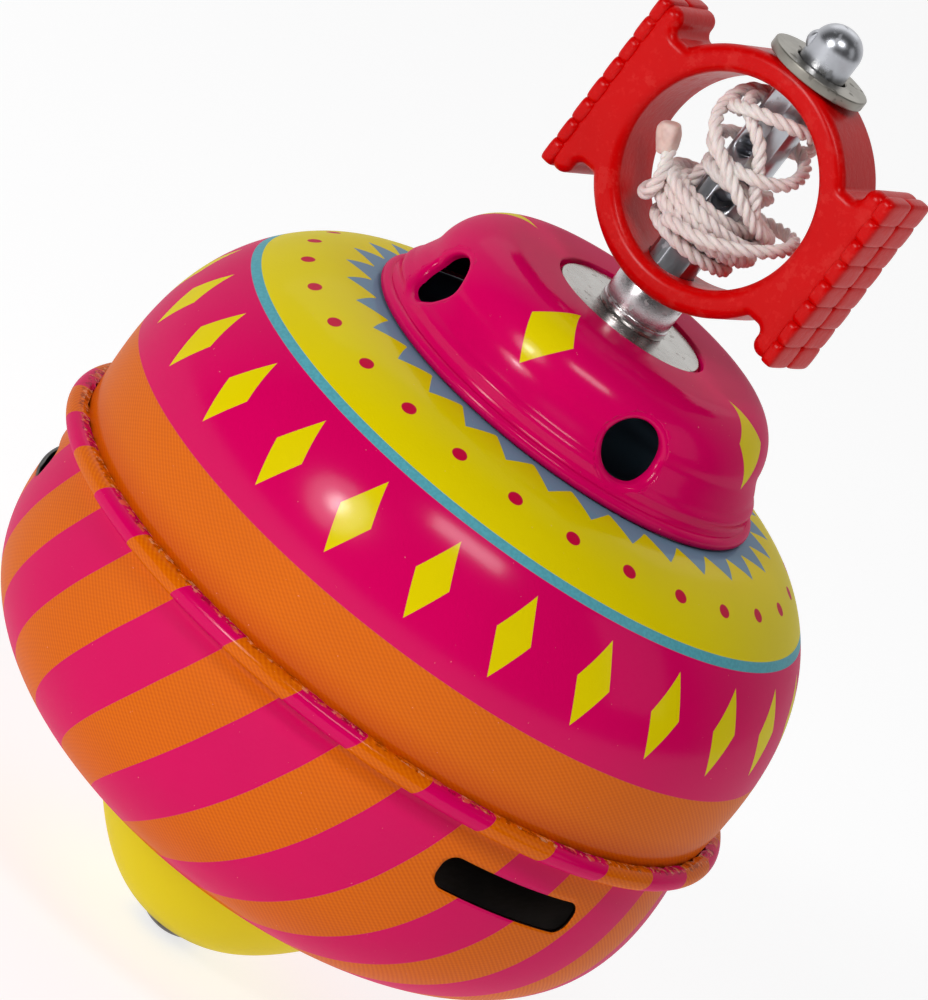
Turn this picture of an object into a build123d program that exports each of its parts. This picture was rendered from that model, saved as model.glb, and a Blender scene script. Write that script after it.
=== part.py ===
from build123d import *
import os
from math import cos, pi, radians, sin, tan

os.makedirs("parts", exist_ok=True)

# Pull-cord humming top, standing upright on its tip.
# Origin at the lowest point of the tip, +Z up the spin axis, millimetres.
# The handle's ring lies in the XZ plane, so its hole runs along Y.

# ---- tin body --------------------------------------------------------------
sheet = 0.4                 # wall of every pressed tin piece
body_foot_slope = 84        # slopes are directions along the outline, degrees from +X
shoulder_height = 16.1      # above the seam
shoulder_slope = 113
seat_radius = 20.6          # where the cap's rim stands on the upper half
seat_height = 25.6          # above the seam

seam_height = 36.9          # centre of the rolled bead that joins the halves
bead_radius = 1.05          # outside radius of the bead's curl
bead_reach = 36.3           # outer radius over the bead
body_foot_inset = 1.8       # the walls' radii follow the bead: upper wall where it enters the seam
shoulder_inset = 3.2        # where the upper wall turns into the shoulder
neck_inset = 2.3            # lower wall just under the bead
skirt_inset = 4.1           # where the lower wall turns under
seam_gap = 0.15             # between the bead's lip and the upper wall

neck_slope = -80
skirt_drop = 16.5           # below the seam
skirt_slope = -123
floor_height = 10.9         # flat ring at the bottom that carries the nose
floor_radius = 16.0
floor_slope = -165

slot_length = 16.4          # sound slots in the lower half
slot_width = 3.4
slot_corner = 1.4
slot_drop = 6.0
slot_angles = (-28.3, -160.0, 103.4)

# ---- nose and tip ----------------------------------------------------------
nose_radius = 14.6
nose_end_radius = 3.2
nose_end_height = 1.3
nose_end_slope = 12
nose_slope = 52
nose_flange = 1.3
nose_gap = 0.1
tip_radius = 3.3
tip_shank_radius = 1.6
tip_rivet_radius = 2.6
tip_rivet_height = 0.7
tip_washer_radius = 3.1
tip_washer_thickness = 0.6

# ---- cap -------------------------------------------------------------------
cap_rise = 10.8             # top of the cap above the seat
cap_corner_radius = 5.6
cap_corner_reach = 17.9     # outer radius where the corner turns into the wall
cap_wall_foot_radius = 18.9
cap_wall_foot_rise = 3.4    # above the seat
cap_step_radius = 19.45
cap_step_rise = 2.6
cap_rim_radius = 20.4       # outer radius over the rim's bead
cap_rim_bead = 0.65
cap_recess_radius = 7.95
cap_recess_depth = 0.8
vent_radius = 2.9           # round sound holes in the cap
vent_rise = 5.1             # above the seat
vent_angles = (-46.0, -129.5, 134.0, 50.5)
disc_radius = 7.65
disc_thickness = 0.5

# ---- spindle ---------------------------------------------------------------
spindle_radius = 2.4
spindle_end = 4.35          # above the washer
dome_radius = 2.2
collar_radius = 3.45
pressed_gap = 0.05          # between the spindle and what it is pressed through
backing_radius = 5.4
backing_thickness = 0.8
rivet_radius = 3.6
rivet_height = 0.9
cross_hole_radius = 1.0
cross_hole_chamfer = 0.3
cross_holes = ((3.6, -104.0), (-1.6, -66.0))    # height from the ring's centre, direction
ear_reach = 0.4             # how far the pinched ears stand out of the spindle
ear_height = 1.8
ear_width = 2.2
ear_draft = 12              # slope of the ears' sides, degrees
ear_direction = 20.0

# ---- handle ----------------------------------------------------------------
running_gap = 0.08          # between the spindle and the handle's bores
collar_length = 3.75
ring_outer_radius = 12.25
ring_wall = 2.55
ring_width = 8.4
ring_flat_depth = 0.25      # spot faces above and below the ring
ring_edge = 0.5
handle_lift = 0.9           # how far the handle can lift on the spindle
washer_outer_radius = 5.0
washer_clearance = 0.15     # between the spindle and the washer's hole
washer_thickness = 1.0
washer_edge = 0.15
web_length = 14.4           # solid part between the ring and the grips
grip_reach = 1.85           # from the ring to the bottom of the grip's grooves
grip_thickness = 2.3
grip_length = 18.6
grip_corner = 0.9
block_rows = 8
block_columns = 2
block_height = 0.7
block_groove = 0.25
block_draft = 30            # slope of the blocks' sides, degrees

# ---- pull cord, heights from the ring's centre -------------------------------
cord_radius = 0.6
coil_foot = -7.7
coil_low = -5.6
coil_high = -2.4
coil_top = -0.6
coil_foot_radius = 3.6
coil_radius = 5.6
coil_top_radius = 4.7
loops_foot = 2.4
loops_top = 7.2
loops_radius = 4.5
loops_top_radius = 4.0
knot_radius = 1.2           # the melted thick end of the cord
knot_length = 3.6
knot_foot = -2.5
knot_reach = 6.85           # from the spindle's axis
knot_direction = -160.0
tail_route = (              # the strand that stands off the bundle, x, y and height
    (0.2, -5.6, -5.0),
    (3.2, -5.8, -4.4),
    (6.2, -3.4, -3.1),
    (7.7, 0.3, -1.7),
    (6.9, 3.9, -1.2),
    (3.9, 5.6, -2.0),
    (0.8, 5.4, -2.9),
)
riser_route = (             # the strand between the bundle and the loops
    (4.3, -2.6, -1.9),
    (3.7, -3.0, 0.4),
    (2.4, -3.6, 2.9),
)

# ---- worked out from the sizes above -----------------------------------------
bead_centre_radius = bead_reach - bead_radius
body_foot_radius = bead_reach - body_foot_inset
shoulder_radius = bead_reach - shoulder_inset
neck_radius = bead_reach - neck_inset
skirt_radius = bead_reach - skirt_inset
seat_z = seam_height + seat_height
cap_height = seat_z + cap_rise
vent_height = seat_z + vent_rise
recess_z = cap_height - cap_recess_depth
disc_top = recess_z + disc_thickness
collar_top = disc_top + collar_length
ring_height = collar_top + ring_outer_radius - ring_flat_depth
washer_bottom = ring_height + ring_outer_radius - ring_flat_depth
ring_inner_radius = ring_outer_radius - ring_wall
grip_face = ring_outer_radius + grip_reach
washer_top = washer_bottom + washer_thickness
washer_hole_radius = spindle_radius + washer_clearance
spindle_top = washer_top + spindle_end
backing_top = seat_z - sheet
bore_radius = spindle_radius + running_gap
pressed_radius = spindle_radius + pressed_gap
shank_hole_radius = tip_shank_radius + pressed_gap
tip_ball_radius = (tip_radius**2 + nose_end_height**2) / (2 * nose_end_height)


def facing(angle, height):
    """Upright plane through the axis at a height, looking out at an angle."""
    outwards = (cos(radians(angle)), sin(radians(angle)), 0)
    across = (-sin(radians(angle)), cos(radians(angle)), 0)
    return Plane(origin=(0, 0, height), x_dir=across, z_dir=outwards)


def bend(start, start_slope, end, end_slope):
    """Smooth curve between two points of an outline that leaves and arrives at given slopes."""
    start = Vector(start)
    end = Vector(end)
    turn = radians(abs(end_slope - start_slope))
    share = 1 / 3 if turn == 0 else 2 / 3 * tan(turn / 4) / sin(turn / 2)
    handle_length = share * (end - start).length
    leaving = Vector(cos(radians(start_slope)), sin(radians(start_slope))) * handle_length
    arriving = Vector(cos(radians(end_slope)), sin(radians(end_slope))) * handle_length
    Bezier(start, start + leaving, end - arriving, end)


def tin_wall(stations, side):
    """Outline of a tin wall: smooth bends through the stations, and the same a sheet to one side."""
    ends = []
    for depth in (0, sheet):
        chain = []
        for point, slope in stations:
            left = Vector(-sin(radians(slope)), cos(radians(slope)))
            chain.append((Vector(point) + left * side * depth, slope))
        for (start, start_slope), (end, end_slope) in zip(chain, chain[1:]):
            bend(start, start_slope, end, end_slope)
        ends.append((chain[0][0], chain[-1][0]))
    Line(ends[0][0], ends[1][0])
    Line(ends[0][1], ends[1][1])


def ring_section(inner, outer, bottom, top):
    """Rectangle of a turned ring, between two radii and two heights."""
    with Locations(((inner + outer) / 2, (bottom + top) / 2)):
        Rectangle(outer - inner, top - bottom)


# ---- lower shell: wall, floor and the bead that closes over the upper flange ----
lip_inner = body_foot_radius + seam_gap
ledge_height = seam_height - bead_radius
flange_top = seam_height + bead_radius - sheet
with BuildPart() as lower_shell:
    with BuildSketch(Plane.XZ):
        with Locations((bead_centre_radius, seam_height)):
            Circle(bead_radius)
            Circle(bead_radius - sheet, mode=Mode.SUBTRACT)
            Rectangle(bead_radius, 2 * bead_radius, align=(Align.MAX, Align.CENTER), mode=Mode.SUBTRACT)
        ring_section(lip_inner, bead_centre_radius, flange_top, flange_top + sheet)
        ring_section(neck_radius - sheet, bead_centre_radius, ledge_height, ledge_height + sheet)
        ring_section(nose_radius + nose_gap, floor_radius, floor_height, floor_height + sheet)
        with BuildLine():
            tin_wall(
                (
                    ((neck_radius, ledge_height + sheet / 2), neck_slope),
                    ((skirt_radius, seam_height - skirt_drop), skirt_slope),
                    ((floor_radius, floor_height), floor_slope),
                ),
                side=-1,
            )
        make_face()
    revolve(axis=Axis.Z)
    for angle in slot_angles:
        with BuildSketch(facing(angle, seam_height - slot_drop)):
            RectangleRounded(slot_length, slot_width, slot_corner)
        extrude(amount=bead_reach, mode=Mode.SUBTRACT)
lower_shell.part.label = "lower_shell"
export_step(lower_shell.part, "parts/lower_shell.step")

# ---- upper shell: flange in the bead, wall, shoulder and crown ----
with BuildPart() as upper_shell:
    with BuildSketch(Plane.XZ):
        with BuildLine():
            tin_wall(
                (
                    ((body_foot_radius, flange_top - sheet / 2), body_foot_slope),
                    ((shoulder_radius, seam_height + shoulder_height), shoulder_slope),
                    ((seat_radius, seat_z), 180),
                    ((pressed_radius, seat_z), 180),
                ),
                side=1,
            )
        make_face()
        ring_section(body_foot_radius - sheet, bead_centre_radius, flange_top - sheet, flange_top)
    revolve(axis=Axis.Z)
upper_shell.part.label = "upper_shell"
export_step(upper_shell.part, "parts/upper_shell.step")

# ---- nose: pressed cup, dropped through the lower shell's floor from inside ----
flange_seat = floor_height + sheet
with BuildPart() as nose_cup:
    with BuildSketch(Plane.XZ):
        with BuildLine():
            tin_wall(
                (
                    ((nose_end_radius, nose_end_height), nose_end_slope),
                    ((nose_radius, floor_height), nose_slope),
                ),
                side=1,
            )
        make_face()
        ring_section(shank_hole_radius, nose_end_radius, nose_end_height, nose_end_height + sheet)
        ring_section(nose_radius - sheet, nose_radius, floor_height - sheet, flange_seat + sheet)
        ring_section(nose_radius - sheet, nose_radius + nose_flange, flange_seat, flange_seat + sheet)
    revolve(axis=Axis.Z)
nose_cup.part.label = "nose_cup"
export_step(nose_cup.part, "parts/nose_cup.step")

# ---- tip: rounded foot with a shank riveted over a washer inside the nose ----
rivet_seat = nose_end_height + sheet + tip_washer_thickness
with BuildPart() as tip:
    with BuildSketch(Plane.XZ):
        with BuildLine():
            foot = RadiusArc((0, 0), (tip_radius, nose_end_height), -tip_ball_radius)
            Polyline(
                foot @ 1,
                (tip_shank_radius, nose_end_height),
                (tip_shank_radius, rivet_seat),
                (tip_rivet_radius, rivet_seat),
                (tip_rivet_radius, rivet_seat + tip_rivet_height),
                (0, rivet_seat + tip_rivet_height),
                (0, 0),
            )
        make_face()
    revolve(axis=Axis.Z)
tip.part.label = "tip"
export_step(tip.part, "parts/tip.step")

with BuildPart() as tip_washer:
    with BuildSketch(Plane.XY.offset(nose_end_height + sheet)):
        Circle(tip_washer_radius)
        Circle(shank_hole_radius, mode=Mode.SUBTRACT)
    extrude(amount=tip_washer_thickness)
tip_washer.part.label = "tip_washer"
export_step(tip_washer.part, "parts/tip_washer.step")

# ---- cap: recessed top, round corner, stepped wall and rolled rim ----
with BuildPart() as cap:
    with BuildSketch(Plane.XZ):
        with BuildLine():
            recess = Polyline(
                (pressed_radius, recess_z),
                (cap_recess_radius, recess_z),
                (cap_recess_radius, cap_height),
                (cap_corner_reach - cap_corner_radius, cap_height),
            )
            corner = RadiusArc(
                recess @ 1,
                (cap_corner_reach, cap_height - cap_corner_radius),
                cap_corner_radius,
            )
            Polyline(
                corner @ 1,
                (cap_wall_foot_radius, seat_z + cap_wall_foot_rise),
                (cap_step_radius, seat_z + cap_step_rise),
                (cap_step_radius, seat_z + cap_rim_bead),
            )
            offset(amount=sheet, side=Side.RIGHT)
        make_face()
    revolve(axis=Axis.Z)
    with BuildSketch(Plane.XZ):
        with Locations((cap_rim_radius - cap_rim_bead, seat_z + cap_rim_bead + pressed_gap)):
            Circle(cap_rim_bead)
    revolve(axis=Axis.Z)
    for angle in vent_angles:
        with BuildSketch(facing(angle, vent_height)):
            Circle(vent_radius)
        extrude(amount=cap_rim_radius, mode=Mode.SUBTRACT)
cap.part.label = "cap"
export_step(cap.part, "parts/cap.step")

with BuildPart() as cap_disc:
    with BuildSketch(Plane.XY.offset(recess_z)):
        Circle(disc_radius)
        Circle(pressed_radius, mode=Mode.SUBTRACT)
    extrude(amount=disc_thickness)
cap_disc.part.label = "cap_disc"
export_step(cap_disc.part, "parts/cap_disc.step")

with BuildPart() as spacer_collar:
    with BuildSketch(Plane.XY.offset(disc_top)):
        Circle(collar_radius)
        Circle(pressed_radius, mode=Mode.SUBTRACT)
    extrude(amount=collar_top - disc_top)
spacer_collar.part.label = "spacer_collar"
export_step(spacer_collar.part, "parts/spacer_collar.step")

with BuildPart() as backing_washer:
    with BuildSketch(Plane.XY.offset(backing_top)):
        Circle(backing_radius)
        Circle(pressed_radius, mode=Mode.SUBTRACT)
    extrude(amount=-backing_thickness)
backing_washer.part.label = "backing_washer"
export_step(backing_washer.part, "parts/backing_washer.step")

# ---- spindle: riveted foot, two cross holes, pinched ears and a domed end ----
with BuildPart() as spindle:
    with BuildSketch(Plane.XY.offset(backing_top - backing_thickness)):
        Circle(rivet_radius)
    extrude(amount=-rivet_height)
    with BuildSketch(Plane.XY.offset(backing_top - backing_thickness)):
        Circle(spindle_radius)
    extrude(amount=spindle_top - backing_top + backing_thickness)
    fillet(spindle.edges().group_by(Axis.Z)[-1], radius=dome_radius)
    ear_foot = washer_top + handle_lift
    with BuildSketch(Plane.XY.offset(ear_foot)):
        with Locations(Location((0, 0, 0), (0, 0, ear_direction))):
            Rectangle(2 * (spindle_radius + ear_reach), ear_width)
    extrude(amount=ear_height, taper=ear_draft)
    for height, angle in cross_holes:
        with BuildSketch(facing(angle, ring_height + height)):
            Circle(cross_hole_radius)
        extrude(amount=2 * spindle_radius, both=True, mode=Mode.SUBTRACT)
        for end_angle in (angle, angle + 180):
            with BuildSketch(facing(end_angle, ring_height + height).offset(-spindle_radius)):
                Circle(cross_hole_radius + cross_hole_chamfer)
            extrude(amount=cross_hole_chamfer, taper=45, mode=Mode.SUBTRACT)
spindle.part.label = "spindle"
export_step(spindle.part, "parts/spindle.step")

with BuildPart() as retaining_washer:
    with BuildSketch(Plane.XY.offset(washer_bottom)):
        Circle(washer_outer_radius)
        Circle(washer_hole_radius, mode=Mode.SUBTRACT)
    extrude(amount=washer_thickness)
    washer_rims = retaining_washer.edges().filter_by(GeomType.CIRCLE).group_by(SortBy.RADIUS)[-1]
    chamfer(washer_rims, length=washer_edge)
retaining_washer.part.label = "retaining_washer"
export_step(retaining_washer.part, "parts/retaining_washer.step")

# ---- handle: ring, webs and two grips with rows of raised blocks ----
block_pitch = grip_length / block_rows
column_pitch = ring_width / block_columns
with BuildPart() as handle:
    with BuildSketch(Plane.XZ):
        with Locations((0, ring_height)):
            Circle(ring_outer_radius)
            Rectangle(2 * grip_face, web_length)
        for side in (-1, 1):
            with Locations((side * (grip_face - grip_thickness / 2), ring_height)):
                RectangleRounded(grip_thickness, grip_length, grip_corner)
        with Locations((0, ring_height)):
            Circle(ring_inner_radius, mode=Mode.SUBTRACT)
    extrude(amount=ring_width / 2, both=True)
    fillet(handle.faces().filter_by(Axis.Y).edges(), radius=ring_edge)
    for angle in (0, 180):
        with BuildSketch(facing(angle, ring_height).offset(grip_face)):
            with GridLocations(column_pitch, block_pitch, block_columns, block_rows):
                Rectangle(column_pitch - block_groove, block_pitch - block_groove)
        extrude(amount=block_height, taper=block_draft)
    with BuildSketch(Plane.XY.offset(washer_bottom)):
        Circle(washer_outer_radius + running_gap)
    extrude(amount=ring_flat_depth, mode=Mode.SUBTRACT)
    with BuildSketch(Plane.XY.offset(collar_top)):
        Circle(collar_radius + running_gap)
    extrude(amount=-ring_flat_depth, mode=Mode.SUBTRACT)
    with BuildSketch(Plane.XY.offset(ring_height)):
        Circle(bore_radius)
    extrude(amount=ring_outer_radius, both=True, mode=Mode.SUBTRACT)
handle.part.label = "handle"
export_step(handle.part, "parts/handle.step")

# ---- pull cord: the bundle wound on the spindle, loose loops above it, and between them
# ---- one strand that rises to the loops, one that stands off the bundle, and its thick end
with BuildPart() as pull_cord_coil:
    with BuildSketch(Plane.XZ):
        with BuildLine():
            Polyline(
                (pressed_radius, ring_height + coil_foot),
                (coil_foot_radius, ring_height + coil_foot),
                (coil_radius, ring_height + coil_low),
                (coil_radius, ring_height + coil_high),
                (coil_top_radius, ring_height + coil_top),
                (pressed_radius, ring_height + coil_top),
                close=True,
            )
        make_face()
    revolve(axis=Axis.Z)
pull_cord_coil.part.label = "pull_cord_coil"
export_step(pull_cord_coil.part, "parts/pull_cord_coil.step")

with BuildPart() as pull_cord_loops:
    with BuildSketch(Plane.XZ):
        with BuildLine():
            Polyline(
                (pressed_radius, ring_height + loops_foot),
                (loops_radius, ring_height + loops_foot),
                (loops_top_radius, ring_height + loops_top),
                (pressed_radius, ring_height + loops_top),
                close=True,
            )
        make_face()
    revolve(axis=Axis.Z)
pull_cord_loops.part.label = "pull_cord_loops"
export_step(pull_cord_loops.part, "parts/pull_cord_loops.step")


def route_radii(points):
    """Corner radii of a cord's route: 0.45 of the shorter run over the tangent of half the turn."""
    radii = []
    for before, corner, after in zip(points, points[1:], points[2:]):
        arriving = Vector(corner) - Vector(before)
        leaving = Vector(after) - Vector(corner)
        shorter = min(arriving.length, leaving.length)
        radii.append(0.45 * shorter / tan(radians(arriving.get_angle(leaving) / 2)))
    return radii


def above_ring_centre(points):
    return [(x, y, ring_height + height) for x, y, height in points]


tail_points = above_ring_centre(tail_route)
riser_points = above_ring_centre(riser_route)

with BuildPart() as pull_cord_tail:
    with BuildLine() as tail_line:
        FilletPolyline(*tail_points, radius=route_radii(tail_points))
    with BuildSketch(Plane(origin=tail_line.line @ 0, z_dir=tail_line.line % 0)):
        Circle(cord_radius)
    sweep()
pull_cord_tail.part.label = "pull_cord_tail"
export_step(pull_cord_tail.part, "parts/pull_cord_tail.step")

with BuildPart() as pull_cord_riser:
    with BuildLine() as riser_line:
        FilletPolyline(*riser_points, radius=route_radii(riser_points))
    with BuildSketch(Plane(origin=riser_line.line @ 0, z_dir=riser_line.line % 0)):
        Circle(cord_radius)
    sweep()
pull_cord_riser.part.label = "pull_cord_riser"
export_step(pull_cord_riser.part, "parts/pull_cord_riser.step")

with BuildPart() as pull_cord_knot:
    with BuildSketch(facing(knot_direction, ring_height + knot_foot).offset(knot_reach)):
        with BuildLine():
            Polyline(
                (0, 0),
                (knot_radius, 0),
                (knot_radius, knot_length - knot_radius),
            )
            RadiusArc((knot_radius, knot_length - knot_radius), (0, knot_length), -knot_radius)
            Line((0, knot_length), (0, 0))
        make_face()
    knot_axis = Axis(facing(knot_direction, 0).offset(knot_reach).origin, (0, 0, 1))
    revolve(axis=knot_axis)
pull_cord_knot.part.label = "pull_cord_knot"
export_step(pull_cord_knot.part, "parts/pull_cord_knot.step")

for name, piece, line, points in (
    ("tail", pull_cord_tail, tail_line, tail_points),
    ("riser", pull_cord_riser, riser_line, riser_points),
):
    length = line.wires()[0].length
    print(name, "length", round(length, 2), "radii", [round(radius, 1) for radius in route_radii(points)])
    print(name, "volume over section times length", round(piece.part.volume / (length * pi * cord_radius**2), 4))
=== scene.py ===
import math
import random

import bmesh
import bpy
from mathutils import Matrix, Vector
from mathutils.geometry import tessellate_polygon


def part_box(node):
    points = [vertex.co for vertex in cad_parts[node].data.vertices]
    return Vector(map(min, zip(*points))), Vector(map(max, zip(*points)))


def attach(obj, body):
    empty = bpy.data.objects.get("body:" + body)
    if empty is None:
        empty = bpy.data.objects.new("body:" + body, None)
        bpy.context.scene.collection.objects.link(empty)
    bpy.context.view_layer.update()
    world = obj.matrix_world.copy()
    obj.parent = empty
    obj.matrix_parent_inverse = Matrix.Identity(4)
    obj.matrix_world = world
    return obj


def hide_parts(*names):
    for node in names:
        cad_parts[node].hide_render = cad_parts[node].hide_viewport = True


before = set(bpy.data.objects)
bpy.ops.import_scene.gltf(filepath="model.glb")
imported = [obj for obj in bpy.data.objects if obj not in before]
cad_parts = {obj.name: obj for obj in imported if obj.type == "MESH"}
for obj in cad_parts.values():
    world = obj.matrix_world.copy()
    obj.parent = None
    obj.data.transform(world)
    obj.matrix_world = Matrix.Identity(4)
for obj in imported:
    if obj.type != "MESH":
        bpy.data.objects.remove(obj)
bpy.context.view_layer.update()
mm = 0.001


def linear(red, green, blue):
    # Colour as seen on a screen, 0 to 255, to the linear numbers that nodes take.
    return tuple((part / 255) ** 2.2 for part in (red, green, blue)) + (1.0,)


# Heights that several pieces share, in millimetres, from the frame
def span(node):
    low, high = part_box(node)
    return low.z / mm, high.z / mm


floorZ, beadTop = span("lower_shell")
seatZ = span("upper_shell")[1]
capTop = span("cap")[1]
discFoot, discTop = span("cap_disc")
collarFoot, collarTop = span("spacer_collar")
washerFoot, washerTop = span("retaining_washer")
spindleFoot, spindleTop = span("spindle")
ringCentre = sum(span("handle")) / 2
beadRadius = 1.05                              # of the crimped seam
seamZ = beadTop - beadRadius


# camera
view = {
    "aim": (0.00093, -0.00789, 0.0522),
    "distance": 0.76449,
    "azimuth": -69.65,
    "elevation": 16.288,
    "roll": 37.518,
    "lens": 307.7,
    "sensor": 36,
    "farthest": 20,
}


def linked(name, data):
    # New object in the scene with this data.
    piece = bpy.data.objects.new(name, data)
    bpy.context.scene.collection.objects.link(piece)
    return piece


def outTo(azimuth, elevation):
    # Direction that leads out from the object, angles in degrees.
    azimuth, elevation = math.radians(azimuth), math.radians(elevation)
    return Vector((
        math.cos(elevation) * math.cos(azimuth),
        math.cos(elevation) * math.sin(azimuth),
        math.sin(elevation),
    ))


def lookingBack(aim, way, distance):
    # Place of a camera or lamp that looks at the aim from a distance along way.
    return Matrix.Translation(Vector(aim) + way * distance) @ way.to_track_quat("Z", "Y").to_matrix().to_4x4()


def addCamera():
    data = bpy.data.cameras.new("camera")
    data.lens = view["lens"]
    data.sensor_width = view["sensor"]
    data.clip_end = view["farthest"]
    camera = linked("camera", data)
    stood = lookingBack(view["aim"], outTo(view["azimuth"], view["elevation"]), view["distance"])
    camera.matrix_world = stood @ Matrix.Rotation(math.radians(view["roll"]), 4, "Z")
    bpy.context.scene.camera = camera


addCamera()
print("camera placed")


# shader maths
class Signal:
    # A socket that can stand in a sum.

    def __init__(self, wiring, socket):
        self.wiring = wiring
        self.socket = socket

    def math(self, operation, *others, clamp=False):
        return self.wiring.node("Math", {"operation": operation, "use_clamp": clamp}, self, *others)

    def __add__(self, other):
        return self.math("ADD", other)

    def __sub__(self, other):
        return self.math("SUBTRACT", other)

    def __rsub__(self, other):
        return self.wiring.node("Math", {"operation": "SUBTRACT"}, other, self)

    def __mul__(self, other):
        return self.math("MULTIPLY", other)

    def __truediv__(self, other):
        return self.math("DIVIDE", other)

    def __rtruediv__(self, other):
        return self.wiring.node("Math", {"operation": "DIVIDE"}, other, self)

    def __abs__(self):
        return self.math("ABSOLUTE")

    __radd__ = __add__
    __rmul__ = __mul__

    def below(self, edge, soft):
        # 1 where the value is under the edge, 0 where it is over it, soft across it.
        return ((edge - self) / soft).math("ADD", 0.5, clamp=True)

    def above(self, edge, soft):
        return ((self - edge) / soft).math("ADD", 0.5, clamp=True)

    def cell(self, start, pitch):
        # Distance from the middle of the nearest repeat.
        steps = (self - start) / pitch + 0.5
        return (steps.math("FRACT") - 0.5) * pitch


class Wiring:
    # A node tree and the nodes put in it.

    def __init__(self, tree):
        self.tree = tree

    def feed(self, socket, value):
        # A link from a signal, or a plain number, colour or direction.
        if isinstance(value, Signal):
            self.tree.links.new(value.socket, socket)
        else:
            socket.default_value = value

    def node(self, kind, settings=None, *inputs, out=0, **named):
        made = self.tree.nodes.new("ShaderNode" + kind)
        for key, value in (settings or {}).items():
            if key == "stops":
                for element, (place, shade) in zip(made.color_ramp.elements, value):
                    element.position, element.color = place, shade
            else:
                setattr(made, key, value)
        for key, value in list(enumerate(inputs)) + list(named.items()):
            self.feed(made.inputs[key], value)
        return Signal(self, made.outputs[out])


class Finish(Wiring):
    # A material and its shader.

    def __init__(self, name, **constants):
        self.material = bpy.data.materials.new(name)
        self.material.use_nodes = True
        super().__init__(self.material.node_tree)
        self.shader = self.tree.nodes["Principled BSDF"]
        self.wear(**constants)

    def place(self):
        return self.node("TexCoord", out="Object")

    def axes(self, vector):
        made = self.tree.nodes.new("ShaderNodeSeparateXYZ")
        self.feed(made.inputs[0], vector)
        return [Signal(self, made.outputs[index]) for index in range(3)]

    def noise(self, vector, scale, detail=3, rough=0.5, stretch=None, shift=(0, 0, 0)):
        if stretch or shift != (0, 0, 0):
            vector = self.node("Mapping", None, vector, Location=shift, Scale=stretch or (1, 1, 1))
        return self.node("TexNoise", None, Vector=vector, Scale=scale, Detail=detail, Roughness=rough)

    def mix(self, mask, first, second):
        # First colour where the mask is 0, second where it is 1.
        made = self.tree.nodes.new("ShaderNodeMix")
        made.data_type = "RGBA"
        for index, value in ((0, mask), (6, first), (7, second)):
            self.feed(made.inputs[index], value)
        return Signal(self, made.outputs[2])

    def bump(self, height, distance, strength=1.0):
        return self.node("Bump", None, Strength=strength, Distance=distance, Height=height)

    def wear(self, **values):
        # Joins signals or numbers to the shader.
        for name, value in values.items():
            self.feed(self.shader.inputs[name.replace("_", " ")], value)
        return self.material


# printed tin
inks = {
    "pink": linear(214, 2, 92),
    "orange": linear(226, 112, 0),
    "orangeDeep": linear(196, 74, 0),
    "yellow": linear(226, 206, 2),
    "cyan": linear(88, 168, 182),
    "greyBlue": linear(112, 144, 168),
    "dot": linear(196, 6, 60),
    # painted shade: a darker orange for the crease at the seam and the underside towards the floor
    "orangePaintedShade": linear(196, 62, 8),         # towards the seam and the floor
}


def tinFinish(name):
    return Finish(name, Coat_Roughness=0.15, Coat_IOR=1.7, Specular_IOR_Level=0.0)


def polar(finish):
    # Place, azimuth in degrees, radius and height over the seam in millimetres.
    place = finish.place()
    x, y, z = finish.axes(place)
    azimuth = y.math("ARCTAN2", x) * (180 / math.pi)
    radius = (x * x + y * y).math("SQRT") / mm
    return place, azimuth, radius, z / mm - seamZ


varnish = {
    "coat": 0.18, "rough": 0.27, "cloudRough": 0.10,
    "specks": 2300, "speckLimit": 0.77, "speckTone": linear(250, 190, 170),
    "cloudTone": linear(110, 6, 34),
    "peel": 3000, "peelHeight": 0.8,           # fine grain that breaks up a highlight
    "screenHeight": 0.35, "relief": 0.00004,
}


def lacquer(finish, place, colour, screen=None):
    # The look that every printed piece shares: fine specks, a faint cloud and a coat of varnish.
    cloud = finish.noise(place, 90, 3)
    marks = finish.noise(place, varnish["specks"], 2, 0.6).above(varnish["speckLimit"], 0.03) * 0.35
    colour = finish.mix(marks, colour, varnish["speckTone"])
    colour = finish.mix((cloud - 0.5) * 0.12 + 0.04, colour, varnish["cloudTone"])
    peel = finish.noise(place, varnish["peel"], 2, 0.6) * varnish["peelHeight"]
    bumps = finish.noise(place, 300, 2) * 0.5 + finish.noise(place, 60, 2) + peel
    if screen is not None:
        bumps = bumps + screen * varnish["screenHeight"]
    return finish.wear(
        Base_Color=colour,
        Roughness=varnish["rough"] + (cloud - 0.5) * varnish["cloudRough"] + marks * 0.3,
        Coat_Weight=varnish["coat"] - marks * 0.4,
        Normal=finish.bump(bumps, varnish["relief"], 0.55),
    )


printScreen = {"pitch": 0.36, "lean": 0.55, "radius": 34, "fadeRadius": 25, "fade": 9, "strength": 0.36}


def dotScreen(azimuth, radius, height):
    # Fine lines of a printer's screen: two families that cross at a shallow angle, gone near the floor.
    along = azimuth * (printScreen["radius"] * math.pi / 180)
    waves = 2 * math.pi / printScreen["pitch"]
    first, second = (
        ((along * math.sin(lean) + height * math.cos(lean)) * waves).math("SINE")
        for lean in (printScreen["lean"], -printScreen["lean"])
    )
    kept = radius.above(printScreen["fadeRadius"], printScreen["fade"])
    return (first + second * 0.4) * kept * printScreen["strength"] + 0.5


def diamond(across, along, foot, widest, top, half, soft):
    # A shape that is widest part way up and comes to a point at its foot and its top.
    rising = (along - foot) / (widest - foot)
    falling = (top - along) / (top - widest)
    return (across - rising.math("MINIMUM", falling) * half).below(0.0, soft)


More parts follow.
